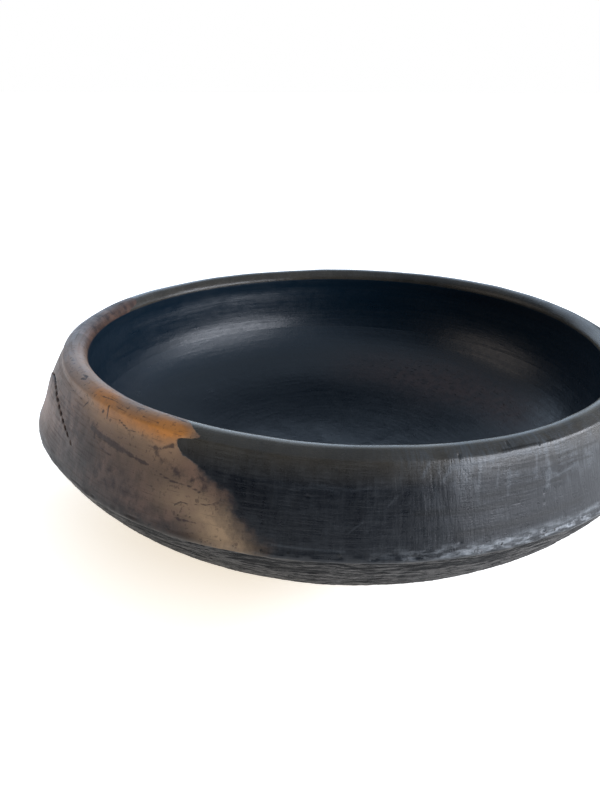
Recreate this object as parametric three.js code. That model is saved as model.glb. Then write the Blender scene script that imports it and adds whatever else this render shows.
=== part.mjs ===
import * as THREE from 'three';

// Burnished black clay bowl, millimetres, +Z up.
// Origin: centre of the flat resting face. The two side lugs stand on the X axis.

// ---- driving sizes ----
const overallHeight = 84;        // resting face to the crest of the lip
const shoulderRadius = 149.7;    // widest line of the bowl, where scraped clay meets burnished clay
const shoulderHeight = 46.8;     // resting face to the shoulder line
const restRadius = 45;           // flat the bowl stands on
const floorThickness = 12;       // clay under the middle of the floor
const shoulderThickness = 20;    // clay from the shoulder in to the widest part of the inside
const rimSetIn = 22.4;           // how far the mouth stands in from the shoulder
const lipThickness = 11.9;       // rounded lip, inside to outside
const lipHeight = 10;            // crest of the lip down to the line under it
const undersideSlope = 30.7;     // degrees the underside leans from upright just below the shoulder
const lugHalfAngle = 32;         // each lug spans twice this, degrees round the wall
const lugProjection = 4.6;       // how far a lug swells out from the wall
const lugEdge = 1.2;             // thickness of a lug along its outline
const jointGap = 0.3;            // slip joint left open between two pieces of clay
const around = 72;               // flats round every turned surface

// ---- sizes that follow ----
const mouthRadius = shoulderRadius - rimSetIn;
const lipOuterRadius = mouthRadius + lipThickness;
const lipMidRadius = mouthRadius + lipThickness / 2;
const lipMidHeight = overallHeight - lipHeight / 2;
const insideRadius = shoulderRadius - shoulderThickness;
const rimJoint = overallHeight - lipHeight;
const insideTop = rimJoint - 0.07 * (rimJoint - shoulderHeight);

const undersideFall = THREE.MathUtils.degToRad(undersideSlope);
const undersideReach = 0.86 * shoulderHeight;
const underside = new THREE.CubicBezierCurve(
  new THREE.Vector2(restRadius, 0),
  new THREE.Vector2(restRadius + 0.476 * (shoulderRadius - restRadius), 0),
  new THREE.Vector2(
    shoulderRadius - undersideReach * Math.sin(undersideFall),
    shoulderHeight - undersideReach * Math.cos(undersideFall),
  ),
  new THREE.Vector2(shoulderRadius, shoulderHeight),
);
const inside = new THREE.CubicBezierCurve(
  new THREE.Vector2(0, floorThickness),
  new THREE.Vector2(0.65 * insideRadius, floorThickness),
  new THREE.Vector2(insideRadius, floorThickness),
  new THREE.Vector2(insideRadius, insideTop),
);

// Place along a rising curve at which it reaches a height.
function placeAtHeight(curve, height) {
  let low = 0;
  let high = 1;
  for (let i = 0; i < 40; i += 1) {
    const middle = (low + high) / 2;
    if (curve.getPoint(middle).y < height) low = middle;
    else high = middle;
  }
  return low;
}

// Points of a curve between two places on it, both ends included.
function stretch(curve, from, to, steps) {
  const points = [];
  for (let i = 0; i <= steps; i += 1) {
    points.push(curve.getPoint(from + ((to - from) * i) / steps));
  }
  return points;
}

// Outer face of the wall: a straight cone from the shoulder up to the lip.
function wallRadius(height) {
  const share = (height - shoulderHeight) / (lipMidHeight - shoulderHeight);
  return shoulderRadius + (lipOuterRadius - shoulderRadius) * share;
}

const burnished = new THREE.MeshStandardMaterial({ color: 0x24272b, roughness: 0.35, metalness: 0 });
const scraped = new THREE.MeshStandardMaterial({ color: 0x2e2c2b, roughness: 0.85, metalness: 0 });

const group = new THREE.Group();
group.name = 'black_clay_bowl';

function addPiece(name, geometry, material) {
  const mesh = new THREE.Mesh(geometry, material);
  mesh.name = name;
  group.add(mesh);
}

// A profile of radius and height turned about the upright axis.
function turned(profile) {
  const geometry = new THREE.LatheGeometry(profile, around);
  geometry.rotateX(Math.PI / 2);
  return geometry;
}

// ---- lower bowl: opened from one lump, scraped below, up to the shoulder ----
const lowerTop = shoulderHeight - jointGap / 2;
const lowerTopInside = placeAtHeight(inside, lowerTop);
const lowerTopOutside = placeAtHeight(underside, lowerTop);
addPiece('lower_bowl', turned([
  new THREE.Vector2(0, 0),
  ...stretch(underside, 0, lowerTopOutside, 14),
  ...stretch(inside, lowerTopInside, 0, 14),
]), scraped);

// ---- wall band: coil laid on the shoulder and drawn in towards the mouth ----
const bandBottom = shoulderHeight + jointGap / 2;
const bandTop = rimJoint - jointGap / 2;
const bandTopInside = mouthRadius + (insideRadius - mouthRadius) * 0.9;
addPiece('wall_band', turned([
  ...stretch(inside, placeAtHeight(inside, bandBottom), 1, 6).reverse(),
  new THREE.Vector2(wallRadius(bandBottom), bandBottom),
  new THREE.Vector2(wallRadius(bandTop), bandTop),
  new THREE.Vector2(bandTopInside, bandTop),
  new THREE.Vector2(insideRadius, insideTop),
]), burnished);

// ---- rim coil: the rounded lip laid on the wall ----
const rimBottom = rimJoint + jointGap / 2;
const lipArc = [];
for (let degrees = 0; degrees <= 180; degrees += 15) {
  const angle = THREE.MathUtils.degToRad(degrees);
  lipArc.push(new THREE.Vector2(
    lipMidRadius + (lipThickness / 2) * Math.cos(angle),
    lipMidHeight + (lipHeight / 2) * Math.sin(angle),
  ));
}
addPiece('rim_coil', turned([
  new THREE.Vector2(bandTopInside, rimBottom),
  new THREE.Vector2(wallRadius(rimBottom), rimBottom),
  ...lipArc,
  new THREE.Vector2(bandTopInside, rimBottom),
]), burnished);

// ---- side lugs: broad crescents of clay pressed on the wall band ----
const lugBottom = shoulderHeight + 1;
const lugTop = rimJoint - 1;
const lugHalf = THREE.MathUtils.degToRad(lugHalfAngle);
const lugColumns = 28;
const lugRows = 8;

// Corner of a lug: across runs -1 to 1 round the wall, up runs 0 to 1; front is the swollen face.
function lugPoint(centre, across, up, front) {
  const outline = Math.sqrt(Math.max(0, 1 - across * across));
  const top = lugBottom + (lugTop - lugBottom) * (0.15 + 0.85 * outline);
  const height = lugBottom + (top - lugBottom) * up;
  const swell = (1 - across * across) * Math.sin(Math.PI * up ** 0.7);
  const stand = front ? lugEdge + lugProjection * swell : 0;
  const radius = wallRadius(height) + jointGap + stand;
  const angle = centre + lugHalf * across;
  return [radius * Math.cos(angle), radius * Math.sin(angle), height];
}

// Closed sheet with a front, a back and four thin edges.
function lug(centre) {
  const positions = [];
  const faces = [];
  const row = lugRows + 1;
  const layer = (lugColumns + 1) * row;
  for (const front of [true, false]) {
    for (let i = 0; i <= lugColumns; i += 1) {
      for (let j = 0; j <= lugRows; j += 1) {
        positions.push(...lugPoint(centre, (2 * i) / lugColumns - 1, j / lugRows, front));
      }
    }
  }
  const at = (i, j, back) => i * row + j + (back ? layer : 0);
  const quad = (a, b, c, d) => faces.push(a, b, c, a, c, d);
  for (let i = 0; i < lugColumns; i += 1) {
    for (let j = 0; j < lugRows; j += 1) {
      quad(at(i, j, false), at(i + 1, j, false), at(i + 1, j + 1, false), at(i, j + 1, false));
      quad(at(i, j, true), at(i, j + 1, true), at(i + 1, j + 1, true), at(i + 1, j, true));
    }
    quad(at(i, 0, false), at(i, 0, true), at(i + 1, 0, true), at(i + 1, 0, false));
    quad(at(i, lugRows, false), at(i + 1, lugRows, false), at(i + 1, lugRows, true), at(i, lugRows, true));
  }
  for (let j = 0; j < lugRows; j += 1) {
    quad(at(0, j, false), at(0, j + 1, false), at(0, j + 1, true), at(0, j, true));
    quad(
      at(lugColumns, j, false),
      at(lugColumns, j, true),
      at(lugColumns, j + 1, true),
      at(lugColumns, j + 1, false),
    );
  }
  const geometry = new THREE.BufferGeometry();
  geometry.setAttribute('position', new THREE.Float32BufferAttribute(positions, 3));
  geometry.setIndex(faces);
  geometry.computeVertexNormals();
  return geometry;
}

addPiece('lug_left', lug(Math.PI), burnished);
addPiece('lug_right', lug(0), burnished);

export default group;
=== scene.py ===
import math
from functools import partial

import bpy
import numpy as np
from mathutils import Matrix, Vector


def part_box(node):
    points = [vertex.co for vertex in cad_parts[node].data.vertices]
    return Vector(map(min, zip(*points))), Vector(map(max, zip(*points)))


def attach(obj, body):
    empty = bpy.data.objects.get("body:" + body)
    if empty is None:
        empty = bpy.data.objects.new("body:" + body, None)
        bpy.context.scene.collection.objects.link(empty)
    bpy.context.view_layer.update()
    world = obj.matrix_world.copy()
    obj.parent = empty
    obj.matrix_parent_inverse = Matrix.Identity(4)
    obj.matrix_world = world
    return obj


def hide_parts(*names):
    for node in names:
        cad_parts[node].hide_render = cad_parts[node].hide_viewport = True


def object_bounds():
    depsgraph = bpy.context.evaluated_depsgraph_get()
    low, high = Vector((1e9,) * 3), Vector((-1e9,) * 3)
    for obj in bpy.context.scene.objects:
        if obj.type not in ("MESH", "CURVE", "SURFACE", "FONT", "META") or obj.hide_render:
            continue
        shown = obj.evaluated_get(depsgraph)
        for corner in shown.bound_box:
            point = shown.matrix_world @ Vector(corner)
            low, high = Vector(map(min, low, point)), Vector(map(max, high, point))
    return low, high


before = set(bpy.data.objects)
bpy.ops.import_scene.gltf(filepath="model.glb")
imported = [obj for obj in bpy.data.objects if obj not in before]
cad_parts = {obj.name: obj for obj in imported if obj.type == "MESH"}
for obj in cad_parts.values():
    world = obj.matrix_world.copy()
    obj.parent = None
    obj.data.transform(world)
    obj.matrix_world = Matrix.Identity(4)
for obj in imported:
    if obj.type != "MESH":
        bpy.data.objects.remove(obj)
cad_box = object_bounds()

MM = 0.001

# ---------------------------------------------------------------- camera

EYE = Vector((-0.0998, -0.3726, 0.2086))
LOOK = Vector((0.1870, 0.9018, -0.3897))
RIGHT = Vector((0.9799, -0.1995, 0.0086))
SENSOR_MM, LENS_MM = 36.0, 35.73


def set_camera():
    """Standing close in front of the bowl and looking down into it at about 23 degrees."""
    forward = LOOK.normalized()
    right = (RIGHT - forward * RIGHT.dot(forward)).normalized()
    up = right.cross(forward)
    data = bpy.data.cameras.new("camera")
    data.sensor_width = SENSOR_MM
    data.lens = LENS_MM
    data.clip_start = 0.01
    camera = bpy.data.objects.new("camera", data)
    bpy.context.collection.objects.link(camera)
    axes = Matrix((right, up, -forward)).transposed().to_4x4()
    camera.matrix_world = Matrix.Translation(EYE) @ axes
    bpy.context.scene.camera = camera


set_camera()
bpy.context.scene.view_settings.view_transform = "Standard"
bpy.context.scene.view_settings.look = "None"

# ---------------------------------------------------------------- small tools


def to_linear(code):
    """sRGB hex such as '#2a2c30' to a linear colour with alpha."""
    values = [int(code[i:i + 2], 16) / 255 for i in (1, 3, 5)]
    return [v / 12.92 if v <= 0.04045 else ((v + 0.055) / 1.055) ** 2.4 for v in values] + [1.0]


def add_node(tree, kind, inputs=(), gives=0, **settings):
    """Adds one node with its settings and links. inputs are values, colour codes or other nodes' outputs,
    in order or by socket name. Hands back the output that gives names, or the whole node when gives is
    None."""
    node = tree.nodes.new(kind)
    for name, value in settings.items():
        setattr(node, name, value)
    for key, value in inputs.items() if isinstance(inputs, dict) else enumerate(inputs):
        if isinstance(value, bpy.types.NodeSocket):
            tree.links.new(value, node.inputs[key])
        else:
            coded = isinstance(value, str) and value.startswith("#")
            node.inputs[key].default_value = to_linear(value) if coded else value
    return node if gives is None or not node.outputs else node.outputs[gives]


def smooth_step(value, low, high):
    t = np.clip((value - low) / (high - low), 0.0, 1.0)
    return t * t * (3 - 2 * t)


def hand_waves(turn, along, cells, step, seed):
    """Smooth random waves from -1 to 1: so many cells round the bowl, one each step mm along the
    section."""
    table = np.random.default_rng(seed).uniform(-1, 1, (cells, 128))
    u = (turn / (2 * np.pi)) % 1.0 * cells
    v = along / step + 64
    i, j = np.floor(u).astype(int), np.floor(v).astype(int)
    fu, fv = u - i, v - j
    fu, fv = fu * fu * (3 - 2 * fu), fv * fv * (3 - 2 * fv)
    i0, i1, j0, j1 = i % cells, (i + 1) % cells, j % 128, (j + 1) % 128
    low = table[i0, j0] * (1 - fu) + table[i1, j0] * fu
    high = table[i0, j1] * (1 - fu) + table[i1, j1] * fu
    return low * (1 - fv) + high * fv


# ---------------------------------------------------------------- the bowl's section, in mm

CREST = cad_box[1].z / MM                       # top of the lip
SHOULDER_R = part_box("wall_band")[1].x / MM      # widest line
SHOULDER_Z = (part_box("wall_band")[0].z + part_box("lower_bowl")[1].z) / 2 / MM
RIM_JOINT_Z = (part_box("wall_band")[1].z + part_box("rim_coil")[0].z) / 2 / MM
REST_R = 45.0
RIM_SET_IN, SHOULDER_THICK, LIP_THICK = 22.4, 20.0, 11.9
MOUTH_R = SHOULDER_R - RIM_SET_IN
INSIDE_R = SHOULDER_R - SHOULDER_THICK
FLOOR_Z = 12.0
UNDERSIDE_SLOPE = math.radians(30.7)            # where it leaves the shoulder, from upright
WALL_TALL, WALL_LEAN = 34.6, 0.329              # the flat wall, up to where the lip starts to round
TURN_TOP, TURN_FOOT = 57.5, 54.5                # heights between which the inside turns onto the floor
SECTION_STEP, SOFTNESS, SOFT_REACH = 0.05, 0.55, 40
MAP_RADIUS = 0.145                              # metres, turns azimuth into distance on the surface map
MM_PER_DEGREE = 2.5                             # round the outside of the wall
SEAM = math.radians(75)                         # every surface starts and ends behind the bowl


def bezier(points, count):
    t = np.linspace(0, 1, count)[:, None]
    p = np.array(points, float)
    return (1 - t) ** 3 * p[0] + 3 * (1 - t) ** 2 * t * p[1] + 3 * (1 - t) * t * t * p[2] + t ** 3 * p[3]


def master_section():
    """The whole section from under the base, over the shoulder and lip, and in to the middle of the floor.
    Returns the distance along it from the shoulder, and the radius, height and normal at each place."""
    reach = 0.86 * SHOULDER_Z
    under = bezier([
        (REST_R, 0), (REST_R + 0.476 * (SHOULDER_R - REST_R), 0),
        (SHOULDER_R - reach * math.sin(UNDERSIDE_SLOPE), SHOULDER_Z - reach * math.cos(UNDERSIDE_SLOPE)),
        (SHOULDER_R, SHOULDER_Z)], 200)
    lip_mid = MOUTH_R + LIP_THICK / 2
    arris = (SHOULDER_R - WALL_LEAN * WALL_TALL, SHOULDER_Z + WALL_TALL)
    crown = bezier([
        arris, (arris[0] - 2.2, arris[1] + 1.5), (lip_mid + 1.6, CREST), (lip_mid - 0.6, CREST)], 30)
    inner_lip = bezier([
        (lip_mid - 0.6, CREST), (lip_mid - 3.6, CREST), (MOUTH_R, CREST - 2.6), (MOUTH_R, CREST - 5.6)], 30)
    inner_top = RIM_JOINT_Z - 1.9
    inside = bezier([
        (INSIDE_R, inner_top), (INSIDE_R, FLOOR_Z), (0.65 * INSIDE_R, FLOOR_Z), (0, FLOOR_Z)], 200)
    # the wall inside stands upright under the lip, then turns quickly onto the floor
    upright_r = inside[np.argmin(np.abs(inside[:, 1] - TURN_TOP)), 0]
    turning = inside[inside[:, 1] < TURN_FOOT]
    turn_in = bezier([(upright_r, 61), (upright_r, 58.5), (upright_r - 0.3, 57), tuple(turning[0])], 20)
    inside = np.concatenate([[(upright_r, inner_top)], turn_in, turning[1:]])
    corners = np.concatenate([[(0, 0)], under, [arris], crown, inner_lip, inside])
    step = np.hypot(*np.diff(corners, axis=0).T)
    keep = np.r_[True, step > 1e-6]
    corners = corners[keep]
    length = np.r_[0, np.cumsum(np.hypot(*np.diff(corners, axis=0).T))]
    fine = np.arange(0, length[-1], SECTION_STEP)
    r = np.interp(fine, length, corners[:, 0])
    z = np.interp(fine, length, corners[:, 1])
    # the potter's hand softens every edge a little
    weights = np.exp(-0.5 * (np.arange(-SOFT_REACH, SOFT_REACH + 1) * SECTION_STEP / SOFTNESS) ** 2)
    weights /= weights.sum()
    soft_r = np.convolve(np.pad(r, SOFT_REACH, mode="edge"), weights, "valid")
    soft_z = np.convolve(np.pad(z, SOFT_REACH, mode="edge"), weights, "valid")
    soft_r[0] = soft_r[-1] = 0.0
    tr, tz = np.gradient(soft_r), np.gradient(soft_z)
    size = np.hypot(tr, tz) + 1e-12
    at_shoulder = fine[np.argmax(soft_r)]
    return fine - at_shoulder, soft_r, soft_z, tz / size, -tr / size


ALONG, SEC_R, SEC_Z, SEC_NR, SEC_NZ = master_section()
START, END = ALONG[0], ALONG[-1]
TOP = ALONG[np.argmax(SEC_Z)]


def along_at(height, inside):
    """Place on the section at a height, on the outside or the inside."""
    part = ALONG > TOP if inside else (ALONG < TOP) & (ALONG > 0)
    return ALONG[part][np.argmin(np.abs(SEC_Z[part] - height))]


SHOULDER_JOINT = -0.9                           # the joint is hidden just under the shoulder
RIM_JOINT = along_at(RIM_JOINT_Z, False)
RIM_JOINT_IN = along_at(RIM_JOINT_Z, True)
BAND_JOINT_IN = along_at(SHOULDER_Z, True)
WALL_FOOT = float(along_at(30.0, True))         # inside, where the wall turns onto the floor


def columns_round(count):
    """Azimuths once round the bowl, closer together over the front and the left lug than behind."""
    angle = np.linspace(0, 2 * np.pi, 3601)
    centre, half = math.radians(240), math.radians(78)
    off = np.abs((angle - centre + np.pi) % (2 * np.pi) - np.pi)
    density = 1 + 1.3 * (1 - smooth_step(off, half - 0.15, half + 0.35))
    total = np.r_[0, np.cumsum((density[1:] + density[:-1]) / 2)]
    start = np.interp(SEAM, angle, total)
    wanted = start + total[-1] * np.arange(count) / count
    turn = np.interp(wanted % total[-1], total, angle) + np.where(wanted >= total[-1], 2 * np.pi, 0)
    return turn - 2 * np.pi


# Visible nicks, chips and pits: azimuth in degrees, then in mm the place along the section, half
# width, half height and depth
MARKS = [
    (-87.2, 37.0, 0.6, 1.0, 0.6), (-78.6, 39.2, 0.35, 1.5, 0.7), (-73.3, 36.6, 0.3, 0.8, 0.4),
    (-87.8, 5.2, 0.8, 0.35, 0.5), (-74.0, 3.0, 1.5, 0.8, 0.55), (-76.6, 2.7, 0.7, 0.4, 0.4),
    (-69.0, 2.0, 1.0, 0.7, 0.6), (-67.9, 2.6, 0.5, 0.5, 0.5), (-66.0, 2.4, 0.8, 0.8, 0.6),
    (-71.6, 2.2, 1.0, 0.3, 0.4), (-79.8, 3.4, 0.6, 0.4, 0.35), (-82.6, 1.6, 1.0, 0.4, 0.4),
    (-94.6, 1.2, 1.6, 0.5, 0.35), (-100.2, 0.8, 1.2, 0.5, 0.3), (-78.3, 15.6, 1.4, 0.25, 0.3),
    (-73.3, 17.0, 0.25, 0.9, 0.35), (-73.4, 13.3, 0.3, 0.4, 0.5), (-152.0, 1.2, 5.0, 0.3, 0.3),
    (-146.5, 0.9, 2.2, 0.3, 0.3), (-163.0, 1.3, 2.5, 0.3, 0.3), (-137.0, 1.0, 3.0, 0.3, 0.3),
    (-59.0, 2.0, 1.2, 0.7, 0.5), (-41.0, 1.8, 1.4, 0.7, 0.5), (12.0, 2.0, 1.6, 0.6, 0.4),
    (64.0, 1.6, 1.2, 0.7, 0.4), (121.0, 2.2, 1.6, 0.7, 0.5), (30.0, 37.8, 0.7, 1.0, 0.5),
    (96.0, 38.4, 0.5, 1.2, 0.5), (158.0, 37.0, 0.6, 0.9, 0.4),
]


def clay_surface(turn, along):
    """Places in metres, and normals, of the hand-made surface, for arrays of azimuth and distance along the
    section."""
    r, z = np.interp(along, ALONG, SEC_R), np.interp(along, ALONG, SEC_Z)
    nr, nz = np.interp(along, ALONG, SEC_NR), np.interp(along, ALONG, SEC_NZ)
    # the mouth is a little out of round and out of level
    high = smooth_step(z, 60, 79)
    lean = turn + math.radians(15)
    r = r + high * (0.17 * np.cos(2 * lean) - 0.91 * np.sin(2 * lean))
    z = z + high * (-0.52 * np.cos(lean) - 0.30 * np.sin(lean) + 0.94 * np.sin(2 * lean))
    open_clay = smooth_step(r, 4, 25)
    swell = 0.22 * hand_waves(turn, along, 11, 34, 3) + 0.12 * hand_waves(turn, along, 37, 19, 4)
    lip = np.exp(-0.5 * ((along - TOP) / 5.0) ** 2)
    swell += lip * (0.22 * hand_waves(turn, along, 23, 60, 5) + 0.14 * hand_waves(turn, along, 70, 7, 6))
    # upright burnishing strokes outside, strokes round the bowl inside
    wall = smooth_step(along, 2, 6) * (1 - smooth_step(along, 31, 36))
    swell += wall * (0.035 * hand_waves(turn, along, 170, 26, 7) + 0.02 * hand_waves(turn, along, 420, 9, 8))
    inner = smooth_step(along, TOP + 10, TOP + 20)
    swell += inner * (0.05 * hand_waves(turn, along, 26, 6, 9) + 0.10 * hand_waves(turn, along, 13, 22, 10))
    # the shoulder is a crumbly edge
    edge = np.exp(-0.5 * (along / 1.6) ** 2)
    swell += edge * (0.16 * hand_waves(turn, along, 90, 3, 11) + 0.14 * hand_waves(turn, along, 310, 1.6, 12))
    for azimuth, place, wide, tall, depth in MARKS:
        across = (turn - math.radians(azimuth) + np.pi) % (2 * np.pi) - np.pi
        far = (across * r / wide) ** 2 + ((along - place) / tall) ** 2
        swell -= depth * np.exp(-(far ** 1.5))
    swell *= open_clay
    r, z = r + nr * swell, z + nz * swell
    points = np.stack([r * np.cos(turn), r * np.sin(turn), np.maximum(z, 0.0)], -1) * MM
    normals = np.stack([nr * np.cos(turn), nr * np.sin(turn), nz + 0 * turn], -1)
    return points, normals


# ---------------------------------------------------------------- meshes


def near_line(degrees, along, line, width):
    """1 on a drawn line of (azimuth, place) corners, fading out over width mm."""
    x, y = degrees * MM_PER_DEGREE, along
    best = np.full(np.shape(x), 1e9)
    for (a0, s0), (a1, s1) in zip(line[:-1], line[1:]):
        x0, dx, dy = a0 * MM_PER_DEGREE, (a1 - a0) * MM_PER_DEGREE, s1 - s0
        t = np.clip(((x - x0) * dx + (y - s0) * dy) / (dx * dx + dy * dy + 1e-9), 0, 1)
        best = np.minimum(best, (x - x0 - t * dx) ** 2 + (y - s0 - t * dy) ** 2)
    return np.exp(-best / width ** 2)


# where the smoke stopped: place along the section against azimuth
SMOKE_ALONG = [
    -60, -20, -8, 0, 4, 10, 13.5, 17, 20, 22.5, 24.5, 27, 28.8, 30.5, 33, 34.6, 35.6, 37, 38.4, 40, 43, 47,
    52, 80,
]
SMOKE_AZIMUTH = [
    -124, -121, -117, -115, -116.5, -119, -120.7, -121.5, -122, -123.6, -125.6, -126.8, -129.3, -130.2,
    -130.9, -130.4, -128.4, -127.2, -127.4, -128.8, -130.6, -133, -136, -150,
]
# stains burned into the unsmoked patch: width in mm, strength, then the line
STAINS = [
    (1.2, 1.0, [(-150.5, 25.4), (-148, 24.6), (-144, 24.0), (-141, 23.4)]),
    (0.6, 0.9, [(-142, 23.8), (-138, 22.6), (-135.5, 22.2)]), (0.9, 0.9, [(-149.5, 25.5), (-149.2, 22.5)]),
    (0.5, 0.8, [(-148.5, 22.0), (-147, 20.5), (-144, 19.8)]), (0.45, 1.0, [(-147, 31.5), (-147.2, 36.5)]),
    (0.8, 1.0, [(-148.6, 32.8), (-148.4, 33.4)]), (0.8, 0.8, [(-170, 40.5), (-169, 41.8)]),
    (0.5, 0.8, [(-161, 40.8), (-159.4, 41.4), (-158.6, 40.0), (-160, 39.2)]),
    (0.7, 0.8, [(-141.4, 41.2), (-140.2, 41.9)]), (0.4, 0.7, [(-139, 38.4), (-135.5, 38.0)]),
    (0.35, 0.8, [(-135, 44.0), (-130.5, 42.0)]), (0.35, 0.7, [(-151, 38.5), (-147, 39.6), (-143, 39.0)]),
    (0.4, 0.6, [(-155, 30), (-153.5, 33.5), (-154.5, 36)]),
    (0.35, 0.5, [(-163, 31), (-160, 33), (-156, 32.4)]),
    (0.3, 0.8, [(-129.5, 11.4), (-128.6, 12.9), (-126.4, 13.3), (-124, 14.5), (-122.4, 16.0), (-122, 18.4)]),
    (0.35, 0.8, [(-133, 20.5), (-130.4, 19.2), (-128.0, 19.6), (-125.6, 18.2)]),
    (0.3, 0.7, [(-136, 15.8), (-133.8, 15.0)]),
    (0.7, 0.7, [(-127.6, 33.2), (-128.4, 30.2), (-127.8, 28.4)]),
    (0.9, 0.6, [(-131.5, 31.2), (-133.5, 29.0), (-136.5, 28.4)]),
    (0.3, 0.7, [(-144, 33.5), (-141.2, 31.0), (-139.4, 31.6)]),
    (0.6, 0.6, [(-155.5, 20.5), (-153.0, 17.2)]),
    (1.6, 0.75, [(-119.5, 13.5), (-118, 11.5), (-117.4, 9.5)]), (1.2, 0.5, [(-122, 20.5), (-120, 17)]),
    (0.4, 0.6, [(-131, 8.0), (-128.5, 6.4), (-125.5, 6.8)]), (0.5, 0.5, [(-140.0, 12.5), (-137.0, 11.6)]),
    (3.2, 0.42, [(-133, 24), (-128, 23), (-125, 20.5)]), (4.0, 0.34, [(-146, 12), (-138, 8)]),
    (3.0, 0.36, [(-152, 20), (-150, 27)]), (2.4, 0.36, [(-137.5, 30), (-133, 27)]),
]
# rubs, scratches and painted highlight streaks on the black: width in mm, strength, then the line;
# positive is brighter: pale scratches, and on the right and along the shoulder painted highlight streaks
RUBS_AND_GLINTS = [
    (0.7, 0.6, [(-86.5, 27.0), (-86.1, 34.0)]), (0.5, 0.5, [(-81.6, 23.5), (-81.0, 31.0)]),
    (1.3, -0.45, [(-84.0, 20.5), (-77.0, 21.5), (-69.0, 20.8)]),
    (0.35, -0.6, [(-78.5, 25.5), (-75.5, 24.7), (-73.5, 25.2)]), (0.6, 0.5, [(-93.0, 30.0), (-92.0, 35.0)]),
    (1.1, 0.9, [(-72.4, 19), (-71.8, 27), (-72.2, 37)]), (0.6, 0.6, [(-74.4, 24), (-74.0, 35)]),
    (0.7, 0.7, [(-69.8, 21.6), (-70.8, 23.4), (-72.4, 24.4)]),
    (0.6, 0.6, [(-66.0, 24.0), (-69.0, 22.6), (-72.0, 21.8)]),
    (0.5, -0.8, [(-82.0, 30.6), (-76.5, 30.2), (-71.0, 30.8)]), (0.4, -0.7, [(-79.0, 29.3), (-74.0, 28.8)]),
    (0.4, -0.6, [(-77.0, 31.7), (-71.0, 32.1)]), (0.4, -0.7, [(-72.5, 26.4), (-68.5, 27.6), (-64.0, 26.9)]),
    (0.4, -0.6, [(-70.0, 25.0), (-66.0, 25.6), (-62.0, 24.6)]),
    (0.5, -0.6, [(-72.0, 29.4), (-66.0, 30.2), (-60.0, 29.6)]),
    (1.0, 0.7, [(-88.0, 33.0), (-80.0, 35.0), (-75.0, 34.6)]), (0.8, 0.6, [(-90.0, 28.0), (-88.5, 33.5)]),
    (0.8, 0.5, [(-84.6, 24.0), (-84.0, 33.0)]), (0.9, 0.5, [(-79.8, 20.0), (-79.2, 29.0)]),
    (0.4, 0.4, [(-114.0, 4.2), (-104.0, 3.8)]),
    (0.45, 0.2, [(-112.0, 24.5), (-107.5, 26.0), (-105.0, 24.6)]),
    (0.45, 0.2, [(-109.0, 27.2), (-103.0, 25.4), (-100.5, 26.6)]),
    (0.3, 0.3, [(-98.0, 20.0), (-96.5, 24.0)]),
    (0.9, 0.9, [(-90.0, 0.9), (-84.0, 1.6), (-76.0, 2.6), (-70.0, 3.2), (-62.0, 3.6)]),
    (0.7, 0.6, [(-84.0, 3.0), (-78.0, 4.4), (-70.0, 5.4)]), (0.25, 0.35, [(-103.5, 10.5), (-101.5, 14.5)]),
    (1.4, -0.5, [(-88.0, 8.0), (-76.0, 9.0), (-66.0, 9.4)]),
    (1.2, -0.4, [(-94.0, 17.0), (-84.0, 16.0), (-77.0, 18.0)]),
    (0.35, -0.4, [(-80.0, 36.9), (-76.0, 37.2), (-70.0, 36.9)]),
]


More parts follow.
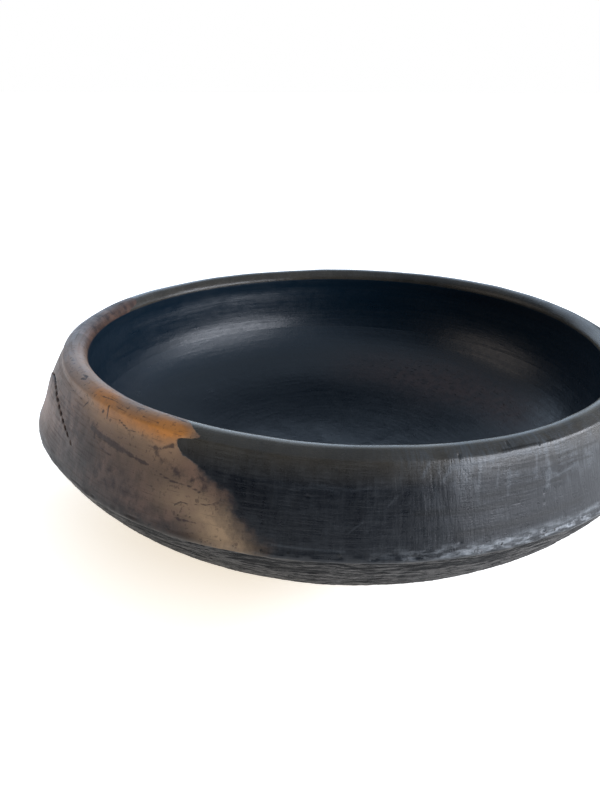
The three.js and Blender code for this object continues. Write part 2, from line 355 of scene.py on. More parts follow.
def fire_fields(turn, along):
    """What smoke, flame and rubbing left on the clay, and where sheen is painted. bare is the distance in mm
    inside the edge of the unsmoked patch; glow is the orange bloom under the lip, tan the paler patch over
    the shoulder, stain the dark marks on them; then the brighter and duller strokes on the black, the
    brightest of them painted highlights, and the right-front zone where the stone polished most and the
    sheen is painted."""
    degrees = (np.degrees(turn) + 285) % 360 - 285
    right = (np.interp(along, SMOKE_ALONG, SMOKE_AZIMUTH) - degrees) * MM_PER_DEGREE
    left = (degrees + 214 + 6 * hand_waves(turn, along, 40, 9, 21)) * MM_PER_DEGREE
    bare = np.minimum(right, left)

    def bloom(azimuth, place, wide, tall):
        across = (degrees - azimuth) * MM_PER_DEGREE
        return np.exp(-(across / wide) ** 2 - ((along - place) / tall) ** 2)

    glow = 1.0 * bloom(-131.5, 38, 11, 4.5) + 0.8 * bloom(-139, 36, 15, 6) + 0.55 * bloom(-148, 33, 16, 6)
    glow += 0.45 * bloom(-133, 30, 12, 6) + 0.4 * bloom(-137, 44, 16, 4) + 0.5 * bloom(-153, 40, 18, 5)
    glow += 0.5 * bloom(-149, 41, 14, 5) + 0.5 * bloom(-168, 43, 32, 7)
    tan = 0.9 * bloom(-122.5, 7, 9, 7) + 0.6 * bloom(-128, 14, 14, 6) + 0.5 * bloom(-119, 2, 9, 4)
    tan += 0.22 * bloom(-138, 26, 25, 9)
    # the right front, strongest up the wall: where the stone polished most, and where the sheen is painted
    polish_and_sheen = smooth_step(degrees, -104, -82) * (1 - 0.8 * smooth_step(degrees, -50, -20))
    polish_and_sheen = polish_and_sheen * (0.2 + 0.75 * smooth_step(along, 13, 29)) + 0.12
    pale = 0.9 * bloom(-178, 13, 26, 9) + 0.8 * bloom(-166, 43, 32, 7)
    pale = pale + 0.5 * bloom(-156, 37, 18, 6) + 0.5 * bloom(-184, 30, 22, 9)
    stain, rub_and_glint = np.zeros_like(bare), np.zeros_like(bare)
    for width, strength, line in STAINS:
        stain = np.maximum(stain, strength * near_line(degrees, along, line, width))
    for width, strength, line in RUBS_AND_GLINTS:
        rub_and_glint = rub_and_glint + strength * near_line(degrees, along, line, width)
    # a browner strip on the floor inside, towards the right lug
    inner = along > TOP + 6
    r = np.interp(along, ALONG, SEC_R)
    x, y = r * np.cos(turn), r * np.sin(turn)
    azimuth = (np.degrees(turn) + 180) % 360 - 180
    strip = np.exp(-((r - 106) / 12) ** 2) * smooth_step(azimuth, -12, 12)
    strip = strip * (1 - smooth_step(azimuth, 55, 90))
    faint = 0.35 * np.exp(-((x - 75) / 22) ** 2 - ((y - 62) / 22) ** 2)
    scorch = np.where(inner, (strip + faint) * (1 - smooth_step(r, 115, 124)), 0.0)
    return {"bare": bare, "glow": glow, "tan": tan, "pale": pale, "polish_and_sheen": polish_and_sheen, "stain": stain,
            "rub_and_glint": rub_and_glint, "scorch": scorch}


def give_mesh(name, turn, along, points, loop_turn, edges=(), poles=(), fields=None):
    """Quads over a grid of points. The grid closes along the section, and round the bowl when loop_turn is
    set; otherwise both ends get a cap. edges are the columns whose line stays sharp, poles the columns that
    close on a middle point, fields more values for each point."""
    rows, columns = turn.shape
    closes = not poles
    next_row = np.r_[1:rows, 0] if loop_turn else np.arange(1, rows)
    next_column = np.r_[1:columns, 0] if closes else np.arange(1, columns)
    i0, j0 = np.meshgrid(np.arange(len(next_row)), np.arange(len(next_column)), indexing="ij")
    i1, j1 = next_row[i0], next_column[j0]
    corners = [i0 * columns + j0, i1 * columns + j0, i1 * columns + j1, i0 * columns + j1]
    faces = np.stack(corners, -1).reshape(-1, 4).tolist()
    quads = len(faces)
    vertices = points.reshape(-1, 3)
    tips = np.array([centre for _, centre in poles]).reshape(-1, 3)
    for tip, (column, _) in enumerate(poles):
        for i in range(rows):
            here, after = i * columns + column, (i + 1) % rows * columns + column
            faces.append([here, after, len(vertices) + tip] if column else [after, here, len(vertices) + tip])
    if not loop_turn:
        for j in range(1, columns - 1):
            faces.append([0, j, j + 1])
            last = (rows - 1) * columns
            faces.append([last, last + j + 1, last + j])
    mesh = bpy.data.meshes.new(name)
    mesh.from_pydata(np.concatenate([vertices, tips]).tolist(), [], faces)
    # surface map: metres round the bowl and metres along the section
    layer = mesh.uv_layers.new(name="surface")
    corner = np.zeros(len(mesh.loops), np.int32)
    mesh.loops.foreach_get("vertex_index", corner)
    all_turn = np.r_[turn.ravel(), np.full(len(tips), turn.mean())]
    all_along = np.r_[along.ravel(), [along[0, column] for column, _ in poles]]
    u = all_turn[corner]
    if loop_turn:
        past_seam = np.zeros((quads, 4), bool)
        past_seam[(i0 == rows - 1).ravel(), 1:3] = True
        u[:quads * 4] += past_seam.ravel() * 2 * np.pi
    surface = np.stack([u * MAP_RADIUS, all_along[corner] * MM], -1)
    layer.data.foreach_set("uv", surface.astype(np.float32).ravel())
    values = {"along": all_along, **fire_fields(all_turn, all_along)}
    for key, field in (fields or {}).items():
        values[key] = np.r_[field.ravel(), np.zeros(len(tips))]
    for key, field in values.items():
        layer = mesh.attributes.new(key, "FLOAT", "POINT")
        layer.data.foreach_set("value", field.astype(np.float32))
    mesh.shade_smooth()
    if edges:
        ends = np.zeros(len(mesh.edges) * 2, np.int32)
        mesh.edges.foreach_get("vertices", ends)
        column = ends.reshape(-1, 2) % columns
        sharp = (column[:, 0] == column[:, 1]) & np.isin(column[:, 0], edges)
        mesh.attributes.new("sharp_edge", "BOOLEAN", "EDGE").data.foreach_set("value", sharp)
    made = bpy.data.objects.new(name, mesh)
    bpy.context.collection.objects.link(made)
    return made


BOWL_COLUMNS, RING_COLUMNS, LUG_COLUMNS, LUG_ROWS = 460, 1380, 560, 124


def ring_piece(name, *runs):
    """A closed ring of clay: one or two runs of rows along the section, with flat joints between their
    ends."""
    turn = columns_round(RING_COLUMNS)
    both = np.concatenate(runs)
    t, a = np.meshgrid(turn, both, indexing="ij")
    points, _ = clay_surface(t, a)
    ends = np.cumsum([0] + [len(run) for run in runs])
    edges = sorted({*ends[:-1].tolist(), *(ends[1:] - 1).tolist()})
    free = np.concatenate([np.minimum(np.abs(run - run[0]), np.abs(run - run[-1])) for run in runs])
    free = np.repeat(np.clip(free / 1.5, 0, 1)[None, :], RING_COLUMNS, 0)
    return give_mesh(name, t, a, points, True, edges=edges, fields={"free": free})


def make_lower_bowl():
    turn = columns_round(BOWL_COLUMNS)
    under = np.r_[np.linspace(START + 4, -62, 14)[:-1], np.linspace(-62, SHOULDER_JOINT, 150)]
    inside = BAND_JOINT_IN + (END - 4 - BAND_JOINT_IN) * np.linspace(0, 1, 34) ** 0.9
    both = np.concatenate([under, inside])
    t, a = np.meshgrid(turn, both, indexing="ij")
    points, _ = clay_surface(t, a)
    split, last = len(under), len(both) - 1
    free = np.where(np.arange(len(both)) < split, np.clip((SHOULDER_JOINT - both) / 0.8, 0, 1), 0)
    free = np.repeat(free[None, :], len(turn), 0)
    poles = [(column, points[:, column].mean(0) * (0, 0, 1)) for column in (0, last)]
    return give_mesh("pot_lower_bowl", t, a, points, True, edges=(split - 1, split), poles=poles,
                     fields={"free": free})


# ---------------------------------------------------------------- lugs

LUG_REACH = 34.0                                # degrees covered each side of the lug's middle
ARC_TOP = 27.5                                  # height of the punched arc above the shoulder, mm
ARC_FALL, ARC_ROUND = 4.4, 4.5                  # how steeply the arc falls, and how round its top is
ARC_SHIFT, SWELL_SHIFT = 6.5, 3.0               # both sit a little towards the front, degrees
LUG_FOOT, LUG_HEAD = -10, 35.5                  # its extent along the section, mm from the shoulder
LUG_SKIN, LUG_SINK = 1.8, 0.3                   # its thickness, and how far its border sinks in, mm
LUG_SWELL_AT = [-8, -5, -2, 0, 2, 4.5, 8, 13.5, 23.5, 28, 33, 36]
LUG_SWELL = [0.0, 0.7, 1.9, 2.8, 3.4, 3.6, 3.1, 2.7, 2.4, 1.6, 0.5, 0]


def arc_height(degrees):
    """The punched arc: rounded at its top, then straight down both sides."""
    return ARC_TOP - ARC_FALL * (np.sqrt(1 + (degrees / ARC_ROUND) ** 2) - 1)


def make_lug(name, centre, front):
    """A low swelling on the wall that reaches over the shoulder and a little way under it, dying away at
    its border. front is the turning direction that leads to the bowl's front. The punched arc is kept as
    distance from it and distance along it from its top."""
    angle = np.linspace(-LUG_REACH, LUG_REACH, LUG_COLUMNS)
    along = np.linspace(LUG_FOOT, LUG_HEAD, LUG_ROWS)
    d, s = np.meshgrid(angle, along, indexing="ij")
    turn = centre + np.radians(d)
    points, normals = clay_surface(turn, s)
    arc = np.linspace(-25, 25, 401)
    arc_x, arc_y = arc * MM_PER_DEGREE, arc_height(arc)
    run = np.r_[0, np.cumsum(np.hypot(np.diff(arc_x), np.diff(arc_y)))]
    run -= run[-1] / 2
    x = (d * front - ARC_SHIFT) * MM_PER_DEGREE
    off, where = np.full(x.shape, 1e9), np.zeros(x.shape)
    for k in range(len(arc)):
        far = np.hypot(x - arc_x[k], s - arc_y[k])
        closer = far < off
        off[closer], where[closer] = far[closer], run[k]
    within = np.where(s < arc_height(x / MM_PER_DEGREE), off, -off)
    lift = 0.03 + np.interp(s, LUG_SWELL_AT, LUG_SWELL) * np.exp(-((d * front - SWELL_SHIFT) / 12.5) ** 2)
    lift += 0.3 * smooth_step(within, -0.7, 0.7) * smooth_step(s, 12, 22)
    border = np.minimum((LUG_REACH - np.abs(d)) * MM_PER_DEGREE, np.minimum(LUG_HEAD - s, s - LUG_FOOT))
    lift -= LUG_SINK * (1 - smooth_step(border, 0.5, 4.0))
    face = points + normals * (lift * MM)[..., None]
    back = points - normals * LUG_SKIN * MM
    pick = [LUG_ROWS - 1, 80, 40, 0]
    grid = [np.concatenate([v, w[:, pick]], 1) for v, w in ((face, back), (turn, turn), (s, s))]
    none = np.full((LUG_COLUMNS, len(pick)), 99.0)
    fields = {"arc_off": np.concatenate([off, none], 1), "arc_run": np.concatenate([where, none], 1)}
    return give_mesh(name, grid[1], grid[2], grid[0], False, fields=fields)


# ---------------------------------------------------------------- materials

NOISE, RANGE, MATH = "ShaderNodeTexNoise", "ShaderNodeMapRange", "ShaderNodeMath"
MIX, MAPPING, BUMP = "ShaderNodeMix", "ShaderNodeMapping", "ShaderNodeBump"
VECTOR, NAMED = "ShaderNodeVectorMath", "GeometryNodeInputNamedAttribute"
COLOUR = {"gives": 2, "data_type": "RGBA"}      # settings of a Mix node that mixes colours
GRID_TURN = (0, 0, 0.6)                         # keeps the noise's own grid from lining up with the bowl
SHELL_FIELDS = ("along", "rub_and_glint", "polish_and_sheen", "bare", "pale", "tan", "glow", "stain", "pit")


def start_material(name):
    """An empty material, and the function that adds a node to it."""
    material = bpy.data.materials.new(name)
    material.use_nodes = True
    material.node_tree.nodes.clear()
    return material, partial(add_node, material.node_tree)


def burnished_clay():
    """Smoke-blackened earthenware, rubbed with a stone while leather-hard: dark, close surface with a soft
    sheen, upright rubbing marks, and a patch the smoke missed that burned orange and tan."""
    material, add = start_material("stone_burnished_black_clay")
    place = add("ShaderNodeTexCoord", gives="Object")
    laid = {"Vector": add("ShaderNodeUVMap", uv_map="surface"), "Rotation": GRID_TURN}
    along, rub_and_glint, polish_and_sheen, bare, pale, tan, glow, stain, pit = (
        add("ShaderNodeAttribute", gives="Fac", attribute_name=field) for field in SHELL_FIELDS)
    # even patterns, each about 1/scale metres across: 30 mm clouds of smoke, 5 mm mottle, grit under 1 mm,
    # 2 mm specks, the 4 mm wander of the smoke's edge, and 2 mm chips
    clouds, mottle, grit, specks, wander, chips = (
        add(NOISE, {"Vector": place, "Scale": scale, "Detail": detail, "Roughness": rough})
        for scale, detail, rough in ((30, 5, 0.6), (210, 5, 0.65), (1400, 2, 0.55),
                                     (480, 3, 0.6), (240, 4, 0.6), (520, 4, 0.65)))
    # stretched patterns, so many cells to the metre round the bowl and up the section: upright rubbing
    # strokes 1 mm by 10 mm, level wiping scratches 16 mm by 1 mm, stone facets 4 mm by 26 mm, the patches
    # of painted sheen where the stone shone most, and scuffs 6 mm by 2 mm that break the painted highlight
    # along the shoulder
    upright, level, facet, sheen_patches, highlight_scuffs = (
        add(NOISE, {"Vector": add(MAPPING, {**laid, "Scale": (around, up, 1)}), "Scale": 1, "Detail": detail,
                    "Roughness": rough})
        for around, up, detail, rough in ((1050, 95, 4, 0.6), (60, 1000, 3, 0.6), (260, 38, 3, 0.6),
                                          (85, 60, 4, 0.65), (160, 500, 4, 0.6)))

    # towards the lip the smoke is thinner and olive-brown; this light tint is also a painted highlight on the
    # crown, four times stronger over the front than behind
    lip = add(MATH, (add(RANGE, (along, 40.5, 44.5, 0, 0.8)), add(RANGE, (along, 26, 40, 0, 0.3))),
              operation="ADD")
    front = add("ShaderNodeSeparateXYZ", (place,), gives="Y")
    for share in (add(RANGE, (clouds, 0.25, 0.6, 0.4, 1.0)), add(RANGE, (front, -0.08, 0.02, 1.0, 0.25))):
        lip = add(MATH, (lip, share), operation="MULTIPLY")
    # where the stone polished hardest the strokes are painted silvery, in uneven patches: a painted sheen, on
    # polish that is also smoother
    silver_sheen_and_polish = add(RANGE, (sheen_patches, 0.42, 0.6))
    silver_sheen_and_polish = add(MATH, (silver_sheen_and_polish, add(RANGE, (upright, 0.4, 0.6, 0.15, 1.0))), operation="MULTIPLY")
    silver_sheen_and_polish = add(MATH, (silver_sheen_and_polish, polish_and_sheen, rub_and_glint), operation="MULTIPLY_ADD")
    black = add(MIX, {0: clouds, 6: "#03060b", 7: "#0a0e15"}, **COLOUR)
    for share, over in (
            (add(RANGE, (mottle, 0.52, 0.75, 0, 0.3)), "#24272b"),
            (lip, "#776d5c"),
            (add(RANGE, (silver_sheen_and_polish, 0, 1, 0, 0.75)), "#4b4e51"),
            (add(RANGE, (rub_and_glint, 0, -0.6, 0, 0.9)), "#020304"),
            (add(RANGE, (level, 0.66, 0.74, 0, 0.35)), "#020304")):
        black = add(MIX, {0: share, 6: black, 7: over}, **COLOUR)

    # the unsmoked patch: ashy brown, paler towards the lug, darker down towards the shoulder and near-black
    # along its edge, tan at the shoulder, orange under the lip, and over these the dark drips, specks and
    # level scratches
    flame = add(MIX, {0: add(RANGE, (glow, 0.5, 1.0)), 6: "#a58160", 7: "#b87535"}, **COLOUR)
    pale, tan, glow = (
        add(MATH, (field, add(RANGE, (mottle, *limits))), operation="MULTIPLY", use_clamp=True)
        for field, limits in ((pale, (0.3, 0.6, 0.7, 1.0)), (tan, (0.2, 0.6, 0.4, 1.15)),
                              (glow, (0.25, 0.6, 0.55, 1.1))))
    drips = add(MATH, (add(RANGE, (mottle, 0.3, 0.7, -0.5, 0.5)), 0.9, stain), operation="MULTIPLY_ADD")
    drips = add(RANGE, (drips, 0.25, 0.75, 0, 0.8), interpolation_type="SMOOTHSTEP")
    ash = add(MIX, {0: add(RANGE, (clouds, 0.36, 0.64)), 6: "#2b211d", 7: "#62493c"}, **COLOUR)
    for share, over in (
            (add(RANGE, (mottle, 0.42, 0.62, 0, 0.85)), "#2f2320"),
            (add(RANGE, (along, 16, 3, 0, 0.4)), "#2a2727"),
            (pale, "#94796a"),
            (add(RANGE, (along, 4.5, -0.5, 0, 0.85)), "#161514"),
            (tan, "#8f7559"),
            (glow, flame),
            (drips, "#2a1c1c"),
            (add(RANGE, (specks, 0.58, 0.68, 0, 0.55)), "#33231f"),
            (add(RANGE, (level, 0.64, 0.72, 0, 0.5)), "#2b2624")):
        ash = add(MIX, {0: share, 6: ash, 7: over}, **COLOUR)

    # the smoke's edge wanders by a millimetre or two and blurs towards the shoulder
    wander = add(RANGE, (wander, 0.25, 0.75, -2.6, 2.6))
    wander = add(MATH, (wander, add(RANGE, (along, 30, 12, 0.6, 2.0)), bare), operation="MULTIPLY_ADD")
    patch = add(MATH, (wander, add(RANGE, (along, 30, 10, 0.7, 13))), operation="DIVIDE")
    patch = add(RANGE, (patch, -0.7, 0.7), interpolation_type="SMOOTHSTEP")
    # the shoulder's edge is painted pale over the right front, a painted highlight broken into scuffs, and
    # flecked near-black all round: chips, their darkness painted shade
    edge = add(MATH, (add(RANGE, (along, -0.6, 0.6)), add(RANGE, (along, 5.5, 2.0))), operation="MULTIPLY")
    scuffed_highlight = add(MATH, (edge, add(RANGE, (highlight_scuffs, 0.46, 0.62))), operation="MULTIPLY")
    scuffed_highlight = add(MATH, (scuffed_highlight, add(RANGE, (polish_and_sheen, 0.12, 0.32, 0, 0.8))), operation="MULTIPLY")
    chips_and_shade = add(MATH, (edge, add(RANGE, (chips, 0.6, 0.68, 0, 0.95))), operation="MULTIPLY")
    # pits and the punched cuts are painted near-black as well: painted shade in their hollows
    pit = add(RANGE, (pit, 0.1, 0.8, 0, 0.7))
    colour = black
    for share, over in ((patch, ash), (scuffed_highlight, "#85888b"), (chips_and_shade, "#060606"), (pit, "#060607")):
        colour = add(MIX, {0: share, 6: colour, 7: over}, **COLOUR)

    smoked = add(MATH, (1.0, patch), operation="SUBTRACT")
    rubbed = add(MATH, (add(RANGE, (along, 36, 30)), smoked), operation="MULTIPLY")
    worn = add(MATH, (add(RANGE, (facet, 0.3, 0.7)), rubbed), operation="MULTIPLY")
    dull = add(RANGE, (mottle, 0.3, 0.7, 0.2, 0.32))
    scratched = add(RANGE, (level, 0.5, 0.7))
    for share, more in ((worn, 0.12), (scratched, 0.16), (silver_sheen_and_polish, -0.08), (patch, 0.22), (pit, 0.3)):
        dull = add(MATH, (share, more, dull), operation="MULTIPLY_ADD")
    for share in (rubbed, add(RANGE, (clouds, 0.35, 0.6, 0.3, 1.0))):
        facet = add(MATH, (facet, share), operation="MULTIPLY")
    normal = add(BUMP, {"Strength": 0.4, "Distance": 0.0005, "Height": facet})
    for height, strength, deep in ((upright, 0.5, 0.00014), (level, 0.4, 0.00018), (grit, 0.4, 0.0001)):
        normal = add(BUMP, {"Strength": strength, "Distance": deep, "Height": height, "Normal": normal})
    shader = add("ShaderNodeBsdfPrincipled", {"Base Color": colour, "Roughness": dull, "IOR": 1.5,
                                              "Specular IOR Level": 0.3, "Normal": normal})
    add("ShaderNodeOutputMaterial", {"Surface": shader})
    return material


def inside_clay():
    """The same clay wiped round the inside and smoked to blue-black, the blue partly a painted cool cast of
    the light and strongest up the upright wall; browner and pitted where fire reached."""
    material, add = start_material("wiped_black_inside")
    place = add("ShaderNodeTexCoord", gives="Object")
    laid = {"Vector": add("ShaderNodeUVMap", uv_map="surface"), "Rotation": GRID_TURN}
    along, scorch = (
        add("ShaderNodeAttribute", gives="Fac", attribute_name=field) for field in ("along", "scorch"))
    # 45 mm clouds and 4 mm mottle
    clouds, mottle = (
        add(NOISE, {"Vector": place, "Scale": scale, "Detail": detail, "Roughness": rough})
        for scale, detail, rough in ((22, 5, 0.6), (240, 4, 0.55)))
    # wiping strokes round the bowl, 45 mm by 2.4 mm, and scraped dashes, 6 mm by 1.1 mm
    wiped, scraped = (
        add(NOISE, {"Vector": add(MAPPING, {**laid, "Scale": (around, up, 1)}), "Scale": 1, "Detail": detail,
                    "Roughness": 0.6})
        for around, up, detail in ((22, 420, 4), (160, 900, 3)))
    brown = add(MATH, (scorch, add(RANGE, (mottle, 0.3, 0.65, 0.4, 1.0))), operation="MULTIPLY",
                use_clamp=True)
    dashes = add(MATH, (scorch, add(RANGE, (scraped, 0.62, 0.67))), operation="MULTIPLY", use_clamp=True)
    colour = add(MIX, {0: clouds, 6: "#05101a", 7: "#0c1820"}, **COLOUR)
    for share, over in (
            # bluer up the upright wall above the turn: painted cool light
            (add(RANGE, (along, WALL_FOOT, WALL_FOOT - 14, 0, 0.6)), "#08202f"),
            (add(RANGE, (wiped, 0.5, 0.75, 0, 0.35)), "#1d242b"),
            (brown, "#4a3c3a"),
            (dashes, "#0a090b")):
        colour = add(MIX, {0: share, 6: colour, 7: over}, **COLOUR)
    dull = add(RANGE, (mottle, 0.3, 0.7, 0.23, 0.32))
    uneven = add(RANGE, (clouds, 0.42, 0.6))
    for share, more in ((add(RANGE, (wiped, 0.3, 0.7)), 0.12), (scorch, 0.2), (uneven, 0.05)):
        dull = add(MATH, (share, more, dull), operation="MULTIPLY_ADD")
    height = add(MATH, (wiped, 0.8, mottle), operation="MULTIPLY_ADD")
    height = add(MATH, (dashes, -1.2, height), operation="MULTIPLY_ADD")
    normal = add(BUMP, {"Strength": 0.45, "Distance": 0.0003, "Height": height})
    shader = add("ShaderNodeBsdfPrincipled", {"Base Color": colour, "Roughness": dull, "IOR": 1.55,
                                              "Normal": normal})
    add("ShaderNodeOutputMaterial", {"Surface": shader})
    return material


def scraped_clay():
    """The underside, pared with a notched scraper and left unburnished: dull, with level furrows a little
    over a millimetre apart, painted near-black where they sink: a painted shade in them."""
    material, add = start_material("scraped_clay")
    place = add("ShaderNodeTexCoord", gives="Object")
    laid = {"Vector": add("ShaderNodeUVMap", uv_map="surface"), "Rotation": GRID_TURN}
    furrow = add("ShaderNodeAttribute", gives="Fac", attribute_name="furrow")
    # 25 mm clouds and grit under 1 mm
    clouds, grit = (
        add(NOISE, {"Vector": place, "Scale": scale, "Detail": detail, "Roughness": rough})
        for scale, detail, rough in ((40, 5, 0.6), (1100, 3, 0.55)))
    # fine scratches between the furrows, 8 mm by 0.9 mm
    laid = add(MAPPING, {**laid, "Scale": (120, 1150, 1)})
    fine = add(NOISE, {"Vector": laid, "Scale": 1, "Detail": 4, "Roughness": 0.65})
    colour = add(MIX, {0: clouds, 6: "#353332", 7: "#5c5956"}, **COLOUR)
    # the sunk furrows and the grooves of the fine scratches are painted near-black: painted shade
    for share, over in (
            (add(RANGE, (furrow, 0.05, -0.45)), "#040405"),
            (add(RANGE, (fine, 0.47, 0.55, 0, 0.9)), "#060607")):
        colour = add(MIX, {0: share, 6: colour, 7: over}, **COLOUR)
    height = add(MATH, (fine, -2.0, grit), operation="MULTIPLY_ADD")
    normal = add(BUMP, {"Strength": 0.9, "Distance": 0.0005, "Height": height})
    shader = add("ShaderNodeBsdfPrincipled", {"Base Color": colour, "Roughness": 0.66, "IOR": 1.5,
                                              "Specular IOR Level": 0.3, "Normal": normal})
    add("ShaderNodeOutputMaterial", {"Surface": shader})
    return material


BURNISHED = burnished_clay()
INSIDE = inside_clay()
SCRAPED = scraped_clay()

# ---------------------------------------------------------------- geometry trees


def tree_with(name, sizes):
    """A geometry tree with a geometry in and out and a named input for each size, its inputs as sockets,
    and the function that adds a node to it."""
    tree = bpy.data.node_groups.new(name, "GeometryNodeTree")
    tree.interface.new_socket("Geometry", in_out="INPUT", socket_type="NodeSocketGeometry")
    for label, value in sizes.items():
        kind = "NodeSocketInt" if isinstance(value, int) else "NodeSocketFloat"
        tree.interface.new_socket(label, in_out="INPUT", socket_type=kind)
    tree.interface.new_socket("Geometry", in_out="OUTPUT", socket_type="NodeSocketGeometry")
    add = partial(add_node, tree)
    return tree, add("NodeGroupInput", gives=None).outputs, add


def apply_tree(made, tree, sizes):
    """Runs a geometry tree on a piece with these sizes and keeps the result as a plain mesh."""
    modifier = made.modifiers.new(tree.name, "NODES")
    modifier.node_group = tree
    for item in tree.interface.items_tree:
        if item.item_type == "SOCKET" and item.in_out == "INPUT" and item.name in sizes:
            modifier[item.identifier] = sizes[item.name]
    evaluated = made.evaluated_get(bpy.context.evaluated_depsgraph_get())
    mesh = bpy.data.meshes.new_from_object(evaluated, preserve_all_data_layers=True,
                                           depsgraph=bpy.context.evaluated_depsgraph_get())
    made.modifiers.remove(modifier)
    old = made.data
    made.data = mesh
    mesh.name = made.name
    bpy.data.meshes.remove(old)
    return made


def sink_and_coat(add, given, name, field, way, coat, inside_from=None):
    """Ends a tree: keeps field on the points under name, moves the surface along its normal by it, Depth mm
    for a field of 1, then coats it, from inside_from mm along the section on with the inside's clay."""
    stored = add("GeometryNodeStoreNamedAttribute",
                 {"Geometry": given["Geometry"], "Name": name, "Value": field}, data_type="FLOAT")
    depth = add(MATH, (field, given["Depth"]), operation="MULTIPLY")
    depth = add(MATH, (depth, way * MM), operation="MULTIPLY")
    push = add(VECTOR, {0: add("GeometryNodeInputNormal"), "Scale": depth}, operation="SCALE")
    moved = add("GeometryNodeSetPosition", {"Geometry": stored, "Offset": push})
    real = add("GeometryNodeRealizeInstances", (moved,))
    coated = add("GeometryNodeSetMaterial", {"Geometry": real, "Material": coat})
    if inside_from is not None:
        along = add(NAMED, {"Name": "along"}, data_type="FLOAT", gives="Attribute")
        inside = add("FunctionNodeCompare", (along, inside_from), data_type="FLOAT", operation="GREATER_THAN")
        coated = add("GeometryNodeSetMaterial", {"Geometry": coated, "Selection": inside, "Material": INSIDE})
    add("NodeGroupOutput", (coated,), gives=None)


def furrow_tree(sizes):
    """Level scraper furrows round the underside, broken and uneven, sunk into the clay."""
    tree, given, add = tree_with("scraper furrows", sizes)
    along, free = (add(NAMED, {"Name": name}, data_type="FLOAT", gives="Attribute")
                   for name in ("along", "free"))
    spot = add("GeometryNodeInputPosition")
    parts = add("ShaderNodeSeparateXYZ", (spot,), gives=None).outputs
    heading = add(VECTOR, (add("ShaderNodeCombineXYZ", (parts["X"], parts["Y"])),), operation="NORMALIZE")
    reach = add(MATH, (140.0, given["Stroke length"]), operation="DIVIDE")
    heading = add(VECTOR, {0: heading, "Scale": reach}, operation="SCALE")
    # strokes climb and fall a little as the scraper goes round
    drift = add(NOISE, {"Vector": heading, "Scale": 0.35, "Detail": 1}, gives="Fac")
    level = add(MATH, (along, add(RANGE, (drift, 0, 1, -7.0, 7.0))), operation="ADD")
    level = add(MATH, (level, given["Furrow spacing"]), operation="DIVIDE")
    where = add(VECTOR, (heading, add("ShaderNodeCombineXYZ", {"Z": level})), operation="ADD")
    seed = add(MATH, (given["Seed"], 7.3), operation="MULTIPLY")
    noise = add(NOISE, {"Vector": where, "W": seed, "Scale": 1.0, "Detail": 2.5, "Roughness": 0.62},
                noise_dimensions="4D", gives="Fac")
    rough = add(NOISE, {"Vector": spot, "Scale": 900.0, "Detail": 2.0}, gives="Fac")
    cut = add(MATH, (add(RANGE, (noise, 0.38, 0.58, -1.0, 0.3)), add(RANGE, (rough, 0, 1, -0.35, 0.35))),
              operation="ADD")
    # nothing is scraped above the shoulder, inside, or on the worn flat it stands on
    off_flat = add(RANGE, (along, -116.0, -104.0))
    cut = add(MATH, (cut, add(MATH, (free, off_flat), operation="MULTIPLY")), operation="MULTIPLY")
    sink_and_coat(add, given, "furrow", cut, 1, SCRAPED, 0.0)
    return tree


def pit_tree(sizes):
    """Small pits where grit dragged out under the burnishing stone."""
    tree, given, add = tree_with("grit pits", sizes)
    points = add("GeometryNodeDistributePointsOnFaces",
                 {"Mesh": given["Geometry"], "Density": given["Pits per square metre"],
                  "Seed": given["Seed"]},
                 gives="Points")
    near = add("GeometryNodeProximity", (points,), gives=None, target_element="POINTS").outputs
    luck = add("ShaderNodeTexWhiteNoise", {"Vector": near["Position"]}, gives="Value")
    luck = add(MATH, (luck, 2.0), operation="POWER")
    width = add(MATH, (add(RANGE, (luck, 0, 1, 0.35, 1.0)), given["Widest pit"]), operation="MULTIPLY")
    width = add(MATH, (width, MM / 2), operation="MULTIPLY")
    far = add(MATH, (near["Distance"], width), operation="DIVIDE")
    hole = add(RANGE, (far, 1.3, 0.3), interpolation_type="SMOOTHSTEP")
    free = add(NAMED, {"Name": "free"}, data_type="FLOAT", gives="Attribute")
    hole = add(MATH, (hole, free), operation="MULTIPLY")
    sink_and_coat(add, given, "pit", hole, -1, BURNISHED, float(TOP + 8.0))
    return tree


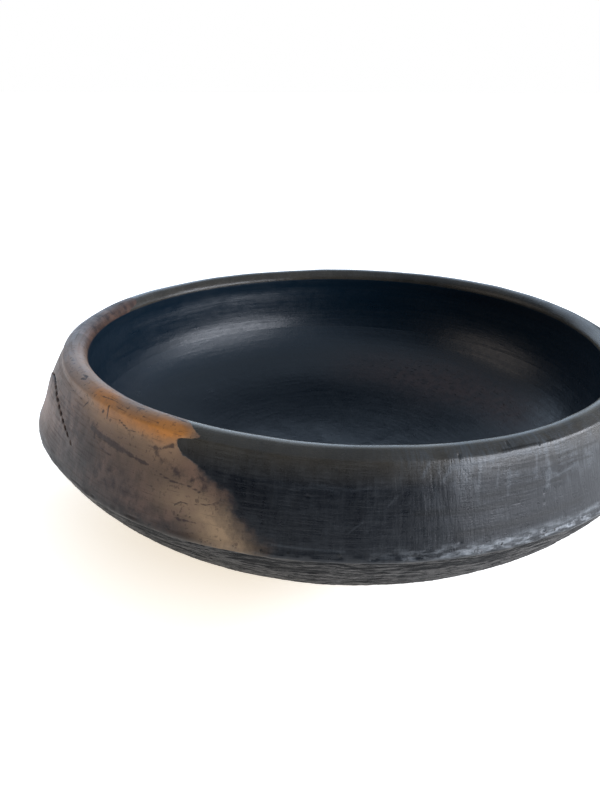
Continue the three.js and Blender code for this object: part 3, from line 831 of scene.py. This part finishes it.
def dash_tree(sizes):
    """The row of short cuts pressed into the damp clay along the lug's arc, joined into one stroke at its
    top."""
    tree, given, add = tree_with("punched arc", sizes)
    run, off = (add(NAMED, {"Name": name}, data_type="FLOAT", gives="Attribute")
                for name in ("arc_run", "arc_off"))
    # the dash each place is nearest to, shifted a little so the row looks pressed by hand
    number = add(MATH, (run, given["Spacing"]), operation="DIVIDE")
    number = add(MATH, (number,), operation="ROUND")
    draw = add(MATH, (number, given["Seed"]), operation="ADD")
    luck = add("ShaderNodeTexWhiteNoise", {"W": draw}, noise_dimensions="1D")
    middle = add(MATH, (add(RANGE, (luck, 0, 1, -0.12, 0.12)), number), operation="ADD")
    middle = add(MATH, (middle, given["Spacing"]), operation="MULTIPLY")
    # distance past the dash's end, past the row's end, and past the one long stroke at the top
    from_dash = add(MATH, (run, middle), operation="SUBTRACT")
    half = add(MATH, (given["Dash length"], 0.5), operation="MULTIPLY")
    past_dash, past_row, past_stroke = (
        add(MATH, (add(MATH, (where,), operation="ABSOLUTE"), reach), operation="SUBTRACT")
        for where, reach in (
            (from_dash, half), (run, given["Row half length"]), (run, given["Stroke half length"])))
    past = add(MATH, (past_dash, past_row), operation="MAXIMUM")
    past = add(MATH, (past, 0.0), operation="MAXIMUM")
    past = add(MATH, (past, add(MATH, (past_stroke, 0.0), operation="MAXIMUM")), operation="MINIMUM")
    far = add("ShaderNodeCombineXYZ", (past, off))
    far = add(VECTOR, (far,), gives="Value", operation="LENGTH")
    far = add(MATH, (far, given["Dash width"]), operation="DIVIDE")
    hole = add(RANGE, (far, 0.75, 0.2), interpolation_type="SMOOTHSTEP")
    sink_and_coat(add, given, "pit", hole, -1, BURNISHED)
    return tree


def finish_piece(made, slot, *nodes):
    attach(made, "root")
    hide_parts(*nodes)


PIT_SIZES = {"Pits per square metre": 1600.0, "Widest pit": 1.2, "Depth": 0.2, "Seed": 5}
FURROW_SIZES = {"Stroke length": 12.0, "Furrow spacing": 1.25, "Depth": 0.55, "Seed": 2}
DASH_SIZES = {"Spacing": 4.5, "Dash length": 1.9, "Dash width": 0.78, "Depth": 0.8, "Stroke half length": 6.5,
              "Row half length": 46.0, "Seed": 3}

band_rows = np.r_[np.linspace(SHOULDER_JOINT, 5, 16)[:-1], np.linspace(5, RIM_JOINT, 42)]
rim_rows = np.r_[np.linspace(RIM_JOINT, 35, 12)[:-1], np.linspace(35, TOP + 2, 26)[:-1],
                 np.linspace(TOP + 2, RIM_JOINT_IN, 26)]
pits, dashes = pit_tree(PIT_SIZES), dash_tree(DASH_SIZES)
lower_bowl = apply_tree(make_lower_bowl(), furrow_tree(FURROW_SIZES), FURROW_SIZES)
wall_band = ring_piece("pot_wall_band", band_rows, np.linspace(RIM_JOINT_IN, BAND_JOINT_IN, 14))
wall_band = apply_tree(wall_band, pits, PIT_SIZES)
rim_coil = ring_piece("pot_rim_coil", rim_rows)
rim_coil = apply_tree(rim_coil, pits, {**PIT_SIZES, "Seed": 9})
lug_left = apply_tree(make_lug("pot_lug_left", -math.pi, 1), dashes, DASH_SIZES)
lug_right = apply_tree(make_lug("pot_lug_right", 0.0, -1), dashes, {**DASH_SIZES, "Seed": 4})

finish_piece(lower_bowl, "scraped_clay", "lower_bowl")
finish_piece(wall_band, "burnished_clay", "wall_band")
finish_piece(rim_coil, "burnished_clay", "rim_coil")
finish_piece(lug_left, "burnished_clay", "lug_left")
finish_piece(lug_right, "burnished_clay", "lug_right")

# ---------------------------------------------------------------- floor and light


def make_floor():
    """White paper sweep, lit through so it stays white into the distance."""
    mesh = bpy.data.meshes.new("floor")
    half = 6.0
    corners = [(-half, -half, 0), (half, -half, 0), (half, half, 0), (-half, half, 0)]
    mesh.from_pydata(corners, [], [(0, 1, 2, 3)])
    floor = bpy.data.objects.new("floor", mesh)
    bpy.context.collection.objects.link(floor)
    material, add = start_material("white_paper")
    place = add("ShaderNodeTexCoord", gives="Object")
    # a painted warm shadow: the paper glows dimmer and warmer near the bowl at its left
    past = add(VECTOR, (place, (-0.12, -0.055, 0.0)), gives="Value", operation="DISTANCE")
    lit = add(RANGE, (past, 0.06, 0.155), interpolation_type="SMOOTHSTEP")
    painted_shadow_tint = add(MIX, {0: lit, 6: "#fbefdc", 7: "#ffffff"}, **COLOUR)
    shader = add("ShaderNodeBsdfPrincipled", {"Base Color": "#f4f3f1", "Roughness": 0.9,
                                              "Emission Color": painted_shadow_tint,
                                              "Emission Strength": add(RANGE, (lit, 0, 1, 0.78, 1.03))})
    add("ShaderNodeOutputMaterial", {"Surface": shader})
    mesh.materials.append(material)


def softbox(name, azimuth, elevation, distance, width, height, power, colour):
    """A soft box that hangs at this azimuth and elevation and faces the bowl."""
    a, e = math.radians(azimuth), math.radians(elevation)
    away = Vector((math.cos(a) * math.cos(e), math.sin(a) * math.cos(e), math.sin(e)))
    data = bpy.data.lights.new(name, "AREA")
    data.shape = "RECTANGLE"
    data.size, data.size_y = width, height
    data.energy = power
    data.color = to_linear(colour)[:3]
    lamp = bpy.data.objects.new(name, data)
    bpy.context.collection.objects.link(lamp)
    target = Vector((0, 0, 0.06))
    facing = away.to_track_quat("Z", "Y").to_matrix().to_4x4()
    lamp.matrix_world = Matrix.Translation(target + away * distance) @ facing


def set_world():
    """A pale studio: white behind the bowl, bluish light from overhead and behind, dark on the near
    side."""
    world = bpy.data.worlds.new("studio")
    bpy.context.scene.world = world
    world.use_nodes = True
    world.node_tree.nodes.clear()
    add = partial(add_node, world.node_tree)
    towards = add("ShaderNodeTexCoord", gives="Generated")
    high, behind = (add(VECTOR, (towards, way), gives="Value", operation="DOT_PRODUCT")
                    for way in ((0.33, 0.0, 0.94), (0.0, 0.94, 0.34)))
    power = add(MATH, (add(RANGE, (high, 0.16, 0.62, 0.03, 0.72)), add(RANGE, (behind, 0.76, 0.95, 0, 3.0))),
                operation="MAXIMUM")
    room = add("ShaderNodeBackground", {"Color": "#c3d7ee", "Strength": power})
    backdrop = add("ShaderNodeBackground", {"Color": "#ffffff", "Strength": 1.0})
    seen = add("ShaderNodeLightPath", gives="Is Camera Ray")
    add("ShaderNodeOutputWorld", {"Surface": add("ShaderNodeMixShader", (seen, room, backdrop))})


make_floor()
set_world()
softbox("window", -37, 13, 1.3, 1.45, 0.42, 21.5, "#f1f5ff")
softbox("right_bounce", 14, 9, 1.3, 0.8, 0.4, 1.3, "#e8f0ff")
softbox("left_fill", 168, 20, 1.6, 1.3, 0.7, 3.0, "#fff0e4")
